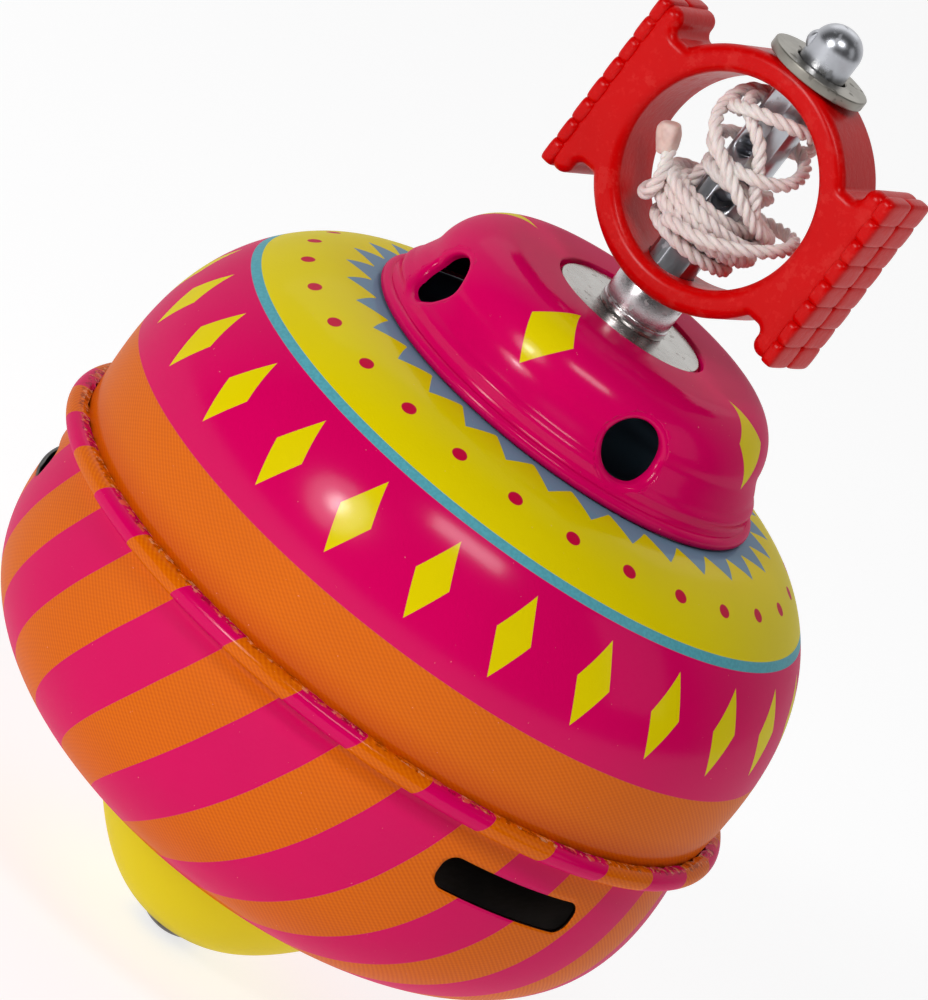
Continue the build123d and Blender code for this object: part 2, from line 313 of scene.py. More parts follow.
bands = {                    # heights over the seam
    "orangeTop": 8.83,
    "ringFoot": 20.36,
    "ringTop": 21.1,
    "diamondStart": -129.4,
    "diamondPitch": 15.0,
    "diamondHalf": 3.1,
    "diamondFoot": 11.35,
    "diamondWidest": 15.4,
    "diamondTop": 19.1,
    "dotStart": -66.2,
    "dotPitch": 40 / 3,
    "dotHeight": 23.8,
    "dotRadius": 26.1,
    "dotSize": 0.72,
    "dotSquash": 2.1,          # height to length along the shoulder
    "toothStart": -61.1,
    "toothPitch": 11.25,
    "toothTip": 23.65,
    "toothFoot": 20.95,
    "toothRing": 21.1,
    "toothLevel": 22,
}


def upperPrint():
    finish = tinFinish("upperPrint")
    place, azimuth, radius, height = polar(finish)
    screen = dotScreen(azimuth, radius, height)
    orange = finish.mix(screen * 0.55, inks["orange"], inks["orangeDeep"])
    # painted shade: the orange darkens in the crease just above the seam bead
    orange = finish.mix(height.below(2.6, 3.0) * 0.45, orange, inks["orangePaintedShade"])
    colour = finish.mix(height.above(bands["orangeTop"], 0.06), orange, inks["pink"])

    across = abs(azimuth.cell(bands["diamondStart"], bands["diamondPitch"]))
    levels = [bands[level] for level in ("diamondFoot", "diamondWidest", "diamondTop")]
    colour = finish.mix(diamond(across, height, *levels, bands["diamondHalf"], 0.09), colour, inks["yellow"])

    grain = finish.noise(place, 3200, 1).above(0.5, 0.2) * 0.16
    cyan = finish.mix(grain, inks["cyan"], linear(40, 96, 110))
    colour = finish.mix(height.above(bands["ringFoot"], 0.05), colour, cyan)
    colour = finish.mix(height.above(bands["ringTop"], 0.05), colour, inks["yellow"])

    sideways = azimuth.cell(bands["dotStart"], bands["dotPitch"]) * (math.pi / 180) * bands["dotRadius"]
    upwards = (height - bands["dotHeight"]) * bands["dotSquash"]
    away = (sideways * sideways + upwards * upwards).math("SQRT")
    colour = finish.mix(away.below(bands["dotSize"], 0.07), colour, inks["dot"])

    tooth = abs(azimuth.cell(bands["toothStart"], bands["toothPitch"]))
    room = (bands["toothTip"] - radius) / (bands["toothTip"] - bands["toothFoot"]) * (bands["toothPitch"] / 2)
    crown = (tooth - room).below(0.0, 0.16).math("MAXIMUM", radius.below(bands["toothRing"], 0.06))
    colour = finish.mix(crown * height.above(bands["toothLevel"], 0.5), colour, inks["greyBlue"])
    return lacquer(finish, place, colour, screen * height.below(bands["orangeTop"], 0.05))


stripes = {
    "start": -56.67, "pitch": 22.5, "lean": 0.8, "wind": 21.7, "level": -5.0, "widest": 34.5,
    "lipFoot": 0.3, "lipReach": 36.1, "lipRagged": 0.9,
}


def lowerPrint():
    finish = tinFinish("lowerPrint")
    place, azimuth, radius, height = polar(finish)
    screen = dotScreen(azimuth, radius, height)
    orange = finish.mix(screen * 0.6, inks["orange"], inks["orangeDeep"])
    # painted shade: the orange darkens on the underside as it curves down towards the floor
    orange = finish.mix(height.below(-19, 9) * 0.25, orange, inks["orangePaintedShade"])
    shrink = stripes["widest"] / radius.math("MINIMUM", stripes["widest"])
    wound = shrink.math("LOGARITHM", math.e) * stripes["wind"] + (stripes["level"] - height) * stripes["lean"]
    turn = ((azimuth + wound - stripes["start"]) / stripes["pitch"]).math("FRACT")
    pinkPart = abs(turn - 0.25).below(0.25, 0.004)             # the first half of each repeat
    colour = finish.mix(pinkPart, orange, inks["pink"])
    # dark, bare and pale chips along the rolled edge
    ragged = finish.noise(place, 420, 3, 0.7) * stripes["lipRagged"]
    lip = height.above(stripes["lipFoot"], 0.12) * (radius + ragged).below(stripes["lipReach"], 0.15)
    dark = finish.noise(place, 1100, 3, 0.7).above(0.54, 0.04)
    bare = finish.noise(place, 700, 3, 0.7, shift=(4, 0, 2)).above(0.55, 0.04)
    pale = finish.noise(place, 1300, 2, 0.6, shift=(1, 2, 3)).above(0.60, 0.04)
    colour = finish.mix(lip * dark * 0.45, colour, linear(84, 22, 10))
    colour = finish.mix(lip * bare * 0.4, colour, linear(250, 140, 40))
    colour = finish.mix(lip * pale * 0.4, colour, linear(255, 200, 150))
    return lacquer(finish, place, colour, screen * (1 - pinkPart) + lip * (pale + bare - dark) * 4)


rhombus = {
    "start": -87, "pitch": 90, "half": 9.0,
    "foot": (31.3, 18.3), "widest": (34.75, 16.1), "top": (36.45, 12.1),       # height and radius
    "slant": 0.62,             # measured along the wall: steep at the foot, flat near the top
    "innerRadius": 11.0, "rimHeight": 26.3,
}


def capPrint():
    finish = tinFinish("capPrint")
    place, azimuth, radius, height = polar(finish)
    across = abs(azimuth.cell(rhombus["start"], rhombus["pitch"]))
    along = height - radius * rhombus["slant"]
    levels = [rhombus[spot][0] - rhombus[spot][1] * rhombus["slant"] for spot in ("foot", "widest", "top")]
    shape = diamond(across, along, *levels, rhombus["half"], 0.25) * radius.above(rhombus["innerRadius"], 0.1)
    colour = finish.mix(shape, inks["pink"], inks["yellow"])
    chips = finish.noise(place, 1300, 3, 0.7).above(0.68, 0.03) * height.below(rhombus["rimHeight"], 0.15)
    colour = finish.mix(chips * 0.6, colour, linear(90, 20, 30))
    return lacquer(finish, place, colour)


def nosePrint():
    finish = tinFinish("nosePrint")
    place, _, radius, height = polar(finish)
    smear = finish.noise(place, 160, 3, 0.6)
    dirt = radius.below(6.0, 3.5) * smear.above(0.45, 0.3) * 0.5                # round the foot
    colour = finish.mix(dirt, inks["yellow"], linear(120, 100, 20))
    # painted shade: darker yellow where the nose runs up under the tin's floor
    underFloorShade = height.above(-26.6, 0.5) * 0.6                                       # under the tin's floor
    colour = finish.mix(underFloorShade, colour, linear(140, 130, 10))
    return lacquer(finish, place, colour)


def metalFinish(name, tone, rough, dull=0.0, scale=1.0, brushed=None):
    # Worn metal: stains, fine scratches and roughness that changes over the surface.
    finish = Finish(name, Specular_IOR_Level=0.5)
    place = finish.place()
    stain = finish.noise(place, 260 * scale, 4, 0.6)
    fine = finish.noise(place, 1800 * scale, 3, 0.6, stretch=brushed)
    pits = finish.noise(place, 900 * scale, 2).above(0.66, 0.05)
    dark = tuple(part * 0.42 for part in tone[:3]) + (1.0,)
    colour = finish.mix(stain.above(0.52, 0.22) * (0.14 + dull), tone, dark)
    colour = finish.mix(pits * (0.2 + dull), colour, linear(60, 52, 46))
    return finish.wear(
        Base_Color=colour,
        Roughness=rough + (stain - 0.5) * 0.2 + (fine - 0.5) * 0.12 + pits * 0.2,
        Metallic=1 - pits * 0.3,
        Normal=finish.bump(fine * 0.4 + stain * dull - pits * 0.5, 0.00002, 0.5),
    )


def plasticFinish():
    finish = Finish(
        "redPlastic", Specular_IOR_Level=0.04, Coat_Weight=0.13, Coat_IOR=1.65, Coat_Roughness=0.24,
    )
    place = finish.place()
    flow = finish.noise(place, 180, 3, 0.55)
    speck = finish.noise(place, 1500, 3, 0.7)
    scuff = finish.noise(place, 420, 4, 0.7).above(0.60, 0.05)
    colour = finish.mix((flow - 0.35) * 0.5, linear(200, 0, 6), linear(172, 0, 3))
    colour = finish.mix(speck.above(0.60, 0.09) * 0.08, colour, linear(240, 74, 70))
    colour = finish.mix(scuff * 0.05, colour, linear(246, 120, 110))
    return finish.wear(
        Base_Color=colour,
        Roughness=0.34 + (speck - 0.5) * 0.3 + scuff * 0.12,
        Normal=finish.bump(speck + flow * 0.6, 0.00006, 0.7),
    )


def cordFinish():
    finish = Finish(
        "whiteCord", Sheen_Weight=0.25, Sheen_Roughness=0.5, Specular_IOR_Level=0.3,
        Subsurface_Weight=0.12, Subsurface_Scale=0.0005,
    )
    place = finish.place()
    chart = finish.node("Mapping", None, finish.node("UVMap", {"uv_map": "lay"}), Scale=(0.6, 9.0, 1))
    fibre = finish.noise(chart, 3.0)
    # painted reflection: soft noise patches of pink where the red tin and handle would show in the white cord
    pinkReflection = finish.noise(place, 260, 3)
    colour = finish.mix(pinkReflection.above(0.45, 0.4) * 0.55, linear(244, 236, 232), linear(232, 200, 196))
    colour = finish.mix(fibre.below(0.42, 0.12) * 0.25, colour, linear(186, 140, 134))
    return finish.wear(
        Base_Color=colour,
        Roughness=0.55 + (fibre - 0.5) * 0.3,
        Normal=finish.bump(fibre + finish.noise(place, 4200, 2) * 0.4, 0.00008, 0.8),
    )


def endFinish():
    finish = Finish("meltedEnd", Specular_IOR_Level=0.4, Subsurface_Weight=0.2, Subsurface_Scale=0.001)
    place = finish.place()
    lumps = finish.noise(place, 700, 3)
    scorch = finish.noise(place, 420, 3, 0.6, shift=(2, 2, 1)).above(0.55, 0.12)
    colour = finish.mix(lumps, linear(236, 216, 208), linear(216, 174, 164))
    colour = finish.mix(scorch * 0.3, colour, linear(168, 112, 104))
    return finish.wear(
        Base_Color=colour,
        Roughness=0.45 + lumps * 0.2,
        Normal=finish.bump(lumps, 0.00015, 0.7),
    )


def bareTinPaintedShadeFinish():
    # Bare tin of the inside and the cut edges, painted brownish black as painted shade of the closed hollow.
    finish = Finish("bareTinPaintedShade", Specular_IOR_Level=0.5)
    place = finish.place()
    cloud = finish.noise(place, 120, 4, 0.6)
    grain = finish.noise(place, 1600, 2, stretch=(1, 1, 0.2))
    # painted shade: near-black browns stand in for the dark inside of the tin
    colour = finish.mix(cloud, linear(46, 30, 18), linear(20, 12, 8))
    return finish.wear(
        Base_Color=colour,
        Roughness=0.35 + (cloud - 0.5) * 0.3,
        Metallic=0.8 + grain * 0.2,
        Normal=finish.bump(grain, 0.00002, 0.5),
    )


upperInk = upperPrint()
lowerInk = lowerPrint()
capInk = capPrint()
noseInk = nosePrint()
bareTinPaintedShade = bareTinPaintedShadeFinish()
redPlastic = plasticFinish()
whiteCord = cordFinish()
meltedEnd = endFinish()
brightDisc = metalFinish("brightDisc", linear(180, 177, 172), 0.26, 0.08, brushed=(1, 1, 0.2))
collarSteel = metalFinish("collarSteel", linear(206, 200, 202), 0.27, 0.03, brushed=(1, 1, 12))
spindleSteel = metalFinish("spindleSteel", linear(188, 190, 196), 0.30, 0.03)
washerSteel = metalFinish("washerSteel", linear(150, 146, 138), 0.40, 0.25)
darkSteel = metalFinish("darkSteel", linear(92, 84, 76), 0.42, 0.3)
print("finishes mixed")


# mesh helpers
def slopeWay(degrees):
    return Vector((math.cos(math.radians(degrees)), math.sin(math.radians(degrees))))


def bendPoints(start, startSlope, end, endSlope, count):
    # Smooth curve of an outline that leaves and arrives at given slopes, without its first point.
    start, end = Vector(start), Vector(end)
    turn = math.radians(abs(endSlope - startSlope))
    share = 1 / 3 if turn == 0 else 2 / 3 * math.tan(turn / 4) / math.sin(turn / 2)
    size = share * (end - start).length
    leave = start + slopeWay(startSlope) * size
    arrive = end - slopeWay(endSlope) * size
    points = []
    for step in range(1, count + 1):
        t = step / count
        s = 1 - t
        points.append(s ** 3 * start + 3 * s ** 2 * t * leave + 3 * s * t * t * arrive + t ** 3 * end)
    return points


def arcPoints(centre, radius, start, end, count):
    # Points on an arc of an outline, angles in degrees.
    angles = [math.radians(start + (end - start) * step / count) for step in range(count + 1)]
    return [Vector((centre[0] + radius * math.cos(a), centre[1] + radius * math.sin(a))) for a in angles]


def spots(*pairs):
    # Corners of an outline, each a radius and a height.
    return [Vector(pair) for pair in pairs]


def bothSides(outline, thickness):
    # Closed outline of a wall: the outer line, and back along the same line a thickness inwards.
    inner = []
    for index, point in enumerate(outline):
        run = (outline[min(index + 1, len(outline) - 1)] - outline[max(index - 1, 0)]).normalized()
        inner.append(point + Vector((-run.y, run.x)) * thickness)
    return list(outline) + inner[::-1]


def shadeSmooth(data, sharp=None):
    # Smooth shading, but for edges that bend by more than the sharp angle.
    data.polygons.foreach_set("use_smooth", [True] * len(data.polygons))
    if sharp is not None:
        data.set_sharp_from_angle(angle=math.radians(sharp))


def evaluatedMesh(piece):
    # A plain mesh of the piece with its modifiers applied.
    bpy.context.view_layer.update()
    return bpy.data.meshes.new_from_object(piece.evaluated_get(bpy.context.evaluated_depsgraph_get()))


def meshPiece(name, build, materials, sharp=32):
    # New object from a bmesh that build fills.
    data = bpy.data.meshes.new(name)
    work = bmesh.new()
    build(work)
    bmesh.ops.remove_doubles(work, verts=work.verts, dist=1e-7)
    bmesh.ops.recalc_face_normals(work, faces=work.faces)
    work.to_mesh(data)
    work.free()
    for material in materials:
        data.materials.append(material)
    shadeSmooth(data, sharp)
    return linked(name, data)


def circle(radius, steps=48):
    turns = (2 * math.pi * step / steps for step in range(steps))
    return [(radius * math.cos(turn), radius * math.sin(turn)) for turn in turns]


def bridge(work, low, high):
    # Faces between two closed rings of the same count.
    count = len(low)
    return [
        work.faces.new((low[index], low[(index + 1) % count], high[(index + 1) % count], high[index]))
        for index in range(count)
    ]


def turned(work, outline, turns, inner=None):
    # Turns an outline of radii and heights in millimetres about the axis.
    # Points from inner on are the inside of a wall, in the second material.
    rings = []
    for radius, height in outline:
        count = turns if radius > 1e-6 else 1
        rings.append([work.verts.new((x * mm, y * mm, height * mm)) for x, y in circle(radius, count)])
    closed = len(rings[0]) > 1 or len(rings[-1]) > 1
    pairs = list(zip(rings, rings[1:])) + ([(rings[-1], rings[0])] if closed else [])
    for row, (low, high) in enumerate(pairs):
        if len(low) == len(high):
            faces = bridge(work, low, high) if len(low) > 1 else []
        elif len(low) == 1:
            faces = [work.faces.new((low[0], high[step], high[(step + 1) % turns])) for step in range(turns)]
        else:
            faces = [work.faces.new((low[step], high[0], low[(step + 1) % turns])) for step in range(turns)]
        for face in faces:
            face.material_index = 1 if inner is not None and row >= inner else 0


def turnedPiece(name, outline, turns, materials, wall=None):
    # A solid from a closed outline, or a sheet along an open one where wall gives its thickness.
    if wall is None:
        return meshPiece(name, lambda work: turned(work, outline, turns), materials)
    closed = bothSides(outline, wall)
    return meshPiece(name, lambda work: turned(work, closed, turns, len(outline)), materials)


def cut(piece, build):
    # Takes the shape that build makes out of the piece for good.
    cutter = meshPiece("cutter", build, piece.data.materials)
    modifier = piece.modifiers.new("cut", "BOOLEAN")
    modifier.operation = "DIFFERENCE"
    modifier.solver = "EXACT"
    modifier.object = cutter
    data = evaluatedMesh(piece)
    piece.modifiers.clear()
    old, piece.data = piece.data, data
    bpy.data.meshes.remove(old)
    bpy.data.objects.remove(cutter)


def outwards(angle, height):
    # Frame of an upright plane on the axis: across, up and out.
    turn = math.radians(angle)
    return Matrix((
        (-math.sin(turn), 0, math.cos(turn), 0),
        (math.cos(turn), 0, math.sin(turn), 0),
        (0, 1, 0, height * mm),
        (0, 0, 0, 1),
    ))


def ringOf(work, matrix, corners, depth):
    return [work.verts.new(matrix @ (Vector((x, y, depth)) * mm)) for x, y in corners]


def prism(work, matrix, corners, near, far, materialIndex=0):
    # Straight bar with a given section, from near to far along the matrix's third axis, in millimetres.
    low, high = (ringOf(work, matrix, corners, depth) for depth in (near, far))
    for face in [work.faces.new(low[::-1]), work.faces.new(high)] + bridge(work, low, high):
        face.material_index = materialIndex


def roundedBox(length, width, corner, steps=8):
    points = []
    for index, (sx, sy) in enumerate(((1, 1), (-1, 1), (-1, -1), (1, -1))):
        centre = (sx * (length / 2 - corner), sy * (width / 2 - corner))
        points += arcPoints(centre, corner, index * 90, index * 90 + 90, steps)
    return [tuple(point) for point in points]


def dress(piece, body, slot, *nodes):
    # Rides a finished piece on its body and lets it stand for its CAD nodes.
    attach(piece, body)
    if nodes:
        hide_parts(*nodes)
    return piece


# pull cord
cordSizes = {                  # metres
    "diameter": 0.0012,
    "strand": 0.00037,
    "strandOffset": 0.00031,
    "twist": 0.0036,           # one turn of the three strands
    "strands": 3,
    "sides": 8,
    "step": 0.19,              # of a diameter, along each strand
    "uvShift": 31,             # so that the strands' fibres differ
}
windings = {                   # millimetres, heights from the ring's centre
    "turnPoints": 14,
    "seed": 7,
    # radius, first and last height, tilt and number of turns
    "layers": ((3.12, 0.7, 0.0, 0.0, 1.5), (3.12, -3.0, -7.1, -0.1, 4.5), (4.05, -6.7, -2.0, 0.1, 5.0)),
    "outer": (5.10, -2.2, -5.3, 0.5, 4.6),
    "begin": -10, "outerBegin": -25,
    "loose": 0.12, "outerLoose": 0.2,
}
sideways = Vector((0.938, 0.348, 0))           # across the view of the winding
nearer = Vector((0.348, -0.938, 0))


def at(across, towards, height):
    return sideways * (across * mm) + nearer * (towards * mm) + Vector((0, 0, height * mm))


def fixed(x, y, z):
    return Vector((x * mm, y * mm, z * mm))


def winding(radius, first, last, tilt, turns, begin, way, chance, loose):
    # Points of a few tilted turns about the spindle, from the angle begin, in the direction way.
    points = []
    total = round(turns * windings["turnPoints"])
    phases = [chance.uniform(0, 2 * math.pi) for _ in range(4)]
    for step in range(total + 1):
        share = step / total
        angle = begin + way * 2 * math.pi * turns * share
        wander = math.sin(angle * 0.37 + phases[0]) + 0.6 * math.sin(angle * 0.83 + phases[1])
        sway = math.sin(angle * 0.43 + phases[2]) + 0.6 * math.sin(angle * 0.71 + phases[3])
        size = radius + loose * wander
        height = first + (last - first) * share - tilt * math.cos(angle) + loose * 1.3 * sway
        points.append(at(size * math.cos(angle), size * math.sin(angle), height))
    return points


def cordRoute():
    chance = random.Random(windings["seed"])
    route = []
    begin = math.radians(windings["begin"])
    for layer in windings["layers"]:
        route += winding(*layer, begin, 1, chance, windings["loose"])
        begin += 2 * math.pi * layer[-1]
    # up across the front
    route += [at(5.0, -1.2, -2.6), at(5.2, 1.4, -1.8)]
    route += [fixed(4.3, -2.6, -0.6), fixed(3.7, -3.0, 0.8), fixed(2.4, -3.6, 3.2)]
    # three loose passes round the spindle, and down again
    route += [at(*spot) for spot in (
        (-0.1, 3.9, 5.0), (-2.0, 3.3, 6.1), (-3.3, 1.8, 6.8), (-3.4, -0.8, 7.2), (-1.8, -3.0, 7.4),
        (0.8, -3.4, 7.6), (3.1, -1.7, 7.8), (3.6, 1.0, 8.0), (2.1, 3.4, 8.1), (-0.4, 4.3, 7.8),
        (-2.7, 3.8, 7.1), (-4.3, 1.8, 6.0), (-4.2, -1.0, 5.3), (-2.3, -3.6, 5.0), (0.8, -4.1, 5.0),
        (3.4, -2.6, 5.2), (4.6, 0.0, 4.6), (4.1, 3.2, 3.4), (1.9, 5.0, 2.6), (-0.9, 4.5, 2.0),
        (-3.2, 2.6, 1.9), (-4.2, -0.2, 2.3), (-3.2, -3.2, 2.8), (-0.4, -4.9, 3.2), (2.6, -5.2, 4.0),
        (4.0, -4.8, 5.6), (2.9, -4.1, 7.0), (0.4, -4.0, 7.7), (-2.3, -3.5, 7.7), (-4.1, -2.3, 7.2),
        (-5.0, -0.2, 5.7), (-4.9, 2.4, 4.2), (-3.4, 4.2, 2.9), (-1.1, 5.0, 1.6), (1.2, 5.1, 0.3),
        (3.3, 4.5, -0.9), (5.0, 2.8, -1.7), (5.7, 0.2, -2.2),
    )]
    # the outer turns run the other way round
    begin = math.radians(windings["outerBegin"])
    route += winding(*windings["outer"], begin, -1, chance, windings["outerLoose"])
    # one strand stands off the bundle
    route += [fixed(*spot) for spot in (
        (-1.0, -5.7, -5.2), (0.2, -6.0, -5.0), (3.2, -5.8, -4.4), (6.2, -3.4, -3.1),
        (7.7, 0.3, -1.7), (6.9, 3.9, -1.2), (3.9, 6.0, -2.0), (0.8, 6.6, -2.9),
    )]
    # the last turn rises to the thick end
    route += [at(*spot) for spot in (
        (-4.0, -5.0, -4.4), (-5.7, -2.6, -5.4), (-6.0, 0.4, -5.6), (-5.6, 3.0, -5.0),
        (-5.4, 3.3, -3.6), (-5.6, 2.4, -2.5), (-6.0, 1.2, -1.6), (-6.5, 0.4, -0.9),
    )]
    return [point + fixed(0, 0, ringCentre) for point in route]


def smoothRoute(points, resolution=6):
    # The points' NURBS line, read back as a mesh of an unbevelled curve.
    data = bpy.data.curves.new("route", "CURVE")
    data.dimensions = "3D"
    data.resolution_u = resolution
    spline = data.splines.new("NURBS")
    spline.points.add(len(points) - 1)
    for control, point in zip(spline.points, points):
        control.co = (*point, 1)
    spline.order_u = 3
    spline.use_endpoint_u = True
    line = linked("route", data)
    mesh = evaluatedMesh(line)
    path = [vertex.co.copy() for vertex in mesh.vertices]
    bpy.data.objects.remove(line)
    bpy.data.curves.remove(data)
    bpy.data.meshes.remove(mesh)
    return path


def carriedFrames(path):
    # A side direction at each point of the path, carried along it without twisting.
    tangents = []
    for index in range(len(path)):
        before, after = path[max(index - 1, 0)], path[min(index + 1, len(path) - 1)]
        tangents.append((after - before).normalized())
    side = tangents[0].orthogonal().normalized()
    frames = []
    for index, tangent in enumerate(tangents):
        if index:
            side = tangents[index - 1].rotation_difference(tangent) @ side
            side = (side - tangent * side.dot(tangent)).normalized()
        frames.append((side.copy(), tangent.cross(side)))
    return frames


def evenly(path, step):
    # The same line with its points the same distance apart.
    marks, travelled = [path[0]], 0.0
    for before, after in zip(path, path[1:]):
        run = (after - before).length
        while travelled + run >= step:
            before = before + (after - before) * ((step - travelled) / run)
            marks.append(before)
            run = (after - before).length
            travelled = 0.0
        travelled += run
    marks.append(path[-1])
    return marks


def twistedCord(name, path, material):
    # Strands laid round each other along the path, as one mesh with a lay chart.
    sides, strands = cordSizes["sides"], cordSizes["strands"]
    path = evenly(path, cordSizes["diameter"] * cordSizes["step"])
    frames = carriedFrames(path)
    work = bmesh.new()
    chart = work.loops.layers.uv.new("lay")
    for strand in range(strands):
        rings, travelled = [], 0.0
        for index, (point, (side, other)) in enumerate(zip(path, frames)):
            if index:
                travelled += (point - path[index - 1]).length
            turn = 2 * math.pi * (travelled / cordSizes["twist"] + strand / strands)
            centre = point + (side * math.cos(turn) + other * math.sin(turn)) * cordSizes["strandOffset"]
            ring = []
            for corner in range(sides):
                angle = 2 * math.pi * corner / sides + turn
                reach = (side * math.cos(angle) + other * math.sin(angle)) * cordSizes["strand"]
                ring.append(work.verts.new(centre + reach))
            rings.append((ring, travelled / mm))
        for (low, start), (high, end) in zip(rings, rings[1:]):
            for corner, face in enumerate(bridge(work, low, high)):
                marks = ((start, corner), (start, corner + 1), (end, corner + 1), (end, corner))
                for loop, (along, around) in zip(face.loops, marks):
                    loop[chart].uv = (along + strand * cordSizes["uvShift"], around / sides)
        work.faces.new(rings[0][0][::-1])
        work.faces.new(rings[-1][0])
    bmesh.ops.recalc_face_normals(work, faces=work.faces)
    data = bpy.data.meshes.new(name)
    work.to_mesh(data)
    work.free()
    data.materials.append(material)
    shadeSmooth(data)
    return linked(name, data), path


endSizes = {
    "radius": 1.15, "height": 3.0, "lean": 26, "sink": 0.7,
    "bluntness": 0.66, "fullness": 4.2, "footSize": 0.80, "topSize": 0.22,
    "lumps": 7, "lumpSize": 0.035, "seed": 3,
}


def meltedEndPiece(foot):
    # Blunt lump where the cord's end was melted.
    chance = random.Random(endSizes["seed"])
    tall, wide, full = endSizes["height"] * mm, endSizes["radius"] * mm, endSizes["fullness"]
    lean = Matrix.Rotation(math.radians(endSizes["lean"]), 3, nearer)

    def build(work):
        bmesh.ops.create_uvsphere(work, u_segments=40, v_segments=28, radius=1.0)
        waves = []
        for _ in range(endSizes["lumps"]):
            way = Vector([chance.uniform(-1, 1) for _ in range(3)]).normalized()
            waves.append((way, chance.uniform(3, 7), chance.uniform(0, 6)))
        for vertex in work.verts:
            x, y, z = vertex.co
            blunt = math.copysign(abs(z) ** endSizes["bluntness"], z)
            belly = (1 - abs(blunt) ** full) ** (1 / full) / max(math.sqrt(x * x + y * y), 1e-6)
            taper = endSizes["footSize"] + endSizes["topSize"] * (blunt + 1) / 2
            lump = sum(math.sin(vertex.co.dot(way) * many + phase) for way, many, phase in waves)
            spread = min(belly, 50) * wide * taper * (1 + endSizes["lumpSize"] * lump)
            vertex.co = lean @ Vector((x * spread, y * spread, (blunt + 0.9) * tall / 2)) + foot
    return meshPiece("cordEnd", build, [meltedEnd], 60)


route = smoothRoute(cordRoute())
pullCord, cordPath = twistedCord("pullCord", route, whiteCord)
cordEnd = meltedEndPiece(cordPath[-1] - Vector((0, 0, endSizes["sink"] * mm)))
cordLength = sum((after - before).length for before, after in zip(cordPath, cordPath[1:]))
dress(pullCord, "top", "cord", "pull_cord_coil", "pull_cord_loops", "pull_cord_tail", "pull_cord_riser")
dress(cordEnd, "top", "cord_end", "pull_cord_knot")
print("cord wound, length", round(cordLength, 4), "triangles", len(pullCord.data.polygons) * 2)


# lower half of the tin
lowerSizes = {
    "sheet": 0.4,
    "neckRadius": 34.0, "neckDrop": 0.35, "neckSlope": -80,
    "skirtRadius": 32.2, "skirtDrop": 16.5, "skirtSlope": -123,
    "floorRadius": 16.0, "floorSlope": -165,
    "holeRadius": 14.72,
    "beadReach": 36.3,
    "lipRadius": 34.62, "lipRise": 0.86, "lipRagged": 0.36,
    "lipEdge": 35.05, "lipBlend": 0.35, "lipWaves": 16, "seed": 11,
    "slotLength": 16.4, "slotWidth": 3.4, "slotCorner": 1.4, "slotDrop": 6.0, "slotCut": (20, 42),
    "slotAngles": (-28.3, -160.0, 103.4),
    "turns": 288,
}


def lowerOutline(sizes):
    # From the lip over the bead, down the wall and in along the floor.
    lip, floor = sizes["lipRadius"], sizes["holeRadius"]
    rise = seamZ + sizes["lipRise"]
    outline = spots((lip, rise), (lip + 0.05, rise + 0.12))
    outline += arcPoints((sizes["beadReach"] - beadRadius, seamZ), beadRadius, 112, -100, 26)
    neck = (sizes["neckRadius"], seamZ - beadRadius - sizes["neckDrop"])
    skirt = (sizes["skirtRadius"], seamZ - sizes["skirtDrop"])
    outline += bendPoints(outline[-1], 190, neck, 270, 6)
    outline += bendPoints(neck, sizes["neckSlope"], skirt, sizes["skirtSlope"], 26)
    outline += bendPoints(skirt, sizes["skirtSlope"], (sizes["floorRadius"], floorZ), sizes["floorSlope"], 26)
    return outline + spots((floor + 0.6, floorZ + 0.02), (floor + 0.12, floorZ + 0.08))


def raggedLip(data, sizes):
    # The rolled edge isn't quite even.
    chance = random.Random(sizes["seed"])
    waves = [
        (chance.randint(30, 140), chance.uniform(0, 6.3), chance.uniform(0.3, 1))
        for _ in range(sizes["lipWaves"])
    ]
    ragged = sizes["lipRagged"] * mm
    for vertex in data.vertices:
        radius = math.hypot(vertex.co.x, vertex.co.y) / mm
        if vertex.co.z / mm > seamZ + 0.3 and radius < sizes["lipEdge"]:
            angle = math.atan2(vertex.co.y, vertex.co.x)
            push = sum(size * math.sin(many * angle + phase) for many, phase, size in waves) / 5 * ragged
            share = min(1, (sizes["lipEdge"] - radius) / sizes["lipBlend"])
            outward = max(push, -ragged * 0.5)
            vertex.co += Vector((math.cos(angle) * outward, math.sin(angle) * outward, push * 0.4)) * share


def makeLowerTin():
    sizes = lowerSizes
    piece = turnedPiece("lowerTin", lowerOutline(sizes), sizes["turns"], [lowerInk, bareTinPaintedShade], -sizes["sheet"])
    raggedLip(piece.data, sizes)
    section = roundedBox(sizes["slotLength"], sizes["slotWidth"], sizes["slotCorner"])
    for angle in sizes["slotAngles"]:
        matrix = outwards(angle, seamZ - sizes["slotDrop"])
        cut(piece, lambda work: prism(work, matrix, section, *sizes["slotCut"], 1))
    return piece


lowerTin = dress(makeLowerTin(), "top", "lower_print", "lower_shell")


# upper half
upperSizes = {
    "sheet": 0.4,
    "footRadius": 34.5, "footRise": 0.25, "footSlope": 84,
    "shoulderRadius": 33.1, "shoulderRise": 16.1, "shoulderSlope": 113,
    "seatRadius": 20.6,
    "crownRadii": (17.0, 12.0, 7.0, 2.45),         # the flat under the cap, in to the spindle
    "turns": 288,
}


def makeUpperTin():
    sizes = upperSizes
    shoulder = (sizes["shoulderRadius"], seamZ + sizes["shoulderRise"])
    outline = spots((sizes["footRadius"], seamZ + sizes["footRise"]))
    outline += bendPoints(outline[0], sizes["footSlope"], shoulder, sizes["shoulderSlope"], 26)
    outline += bendPoints(shoulder, sizes["shoulderSlope"], (sizes["seatRadius"], seatZ), 180, 30)
    outline += spots(*((radius, seatZ) for radius in sizes["crownRadii"]))
    return turnedPiece("upperTin", outline, sizes["turns"], [upperInk, bareTinPaintedShade], sizes["sheet"])


